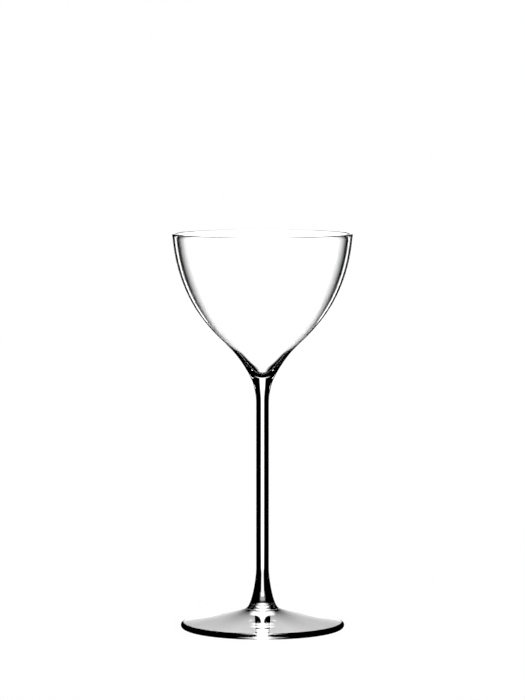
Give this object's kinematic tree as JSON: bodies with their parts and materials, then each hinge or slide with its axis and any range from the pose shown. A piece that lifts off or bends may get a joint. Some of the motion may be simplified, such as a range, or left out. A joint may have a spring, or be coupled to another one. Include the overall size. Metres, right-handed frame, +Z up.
{
  "type": "stemmed cocktail glass",
  "caption": "Clear stemmed cocktail glass: a thin round-bellied bowl drawn down into a slim straight stem on a shallow conical foot.",
  "frame": {"origin": "centre of the foot's standing ring, on the table", "axes": "+Z up along the glass's axis, +X to the right and +Y away from the viewer in the picture"},
  "size_m": [0.0772, 0.0772, 0.17],
  "materials": {
    "bowl_glass": "clear polished glass",
    "stem_glass": "clear polished glass",
    "foot_glass": "clear polished glass"
  },
  "bodies": {
    "root": {"bowl": "bowl_glass", "stem": "stem_glass", "foot": "foot_glass"}
  },
  "joints": []
}
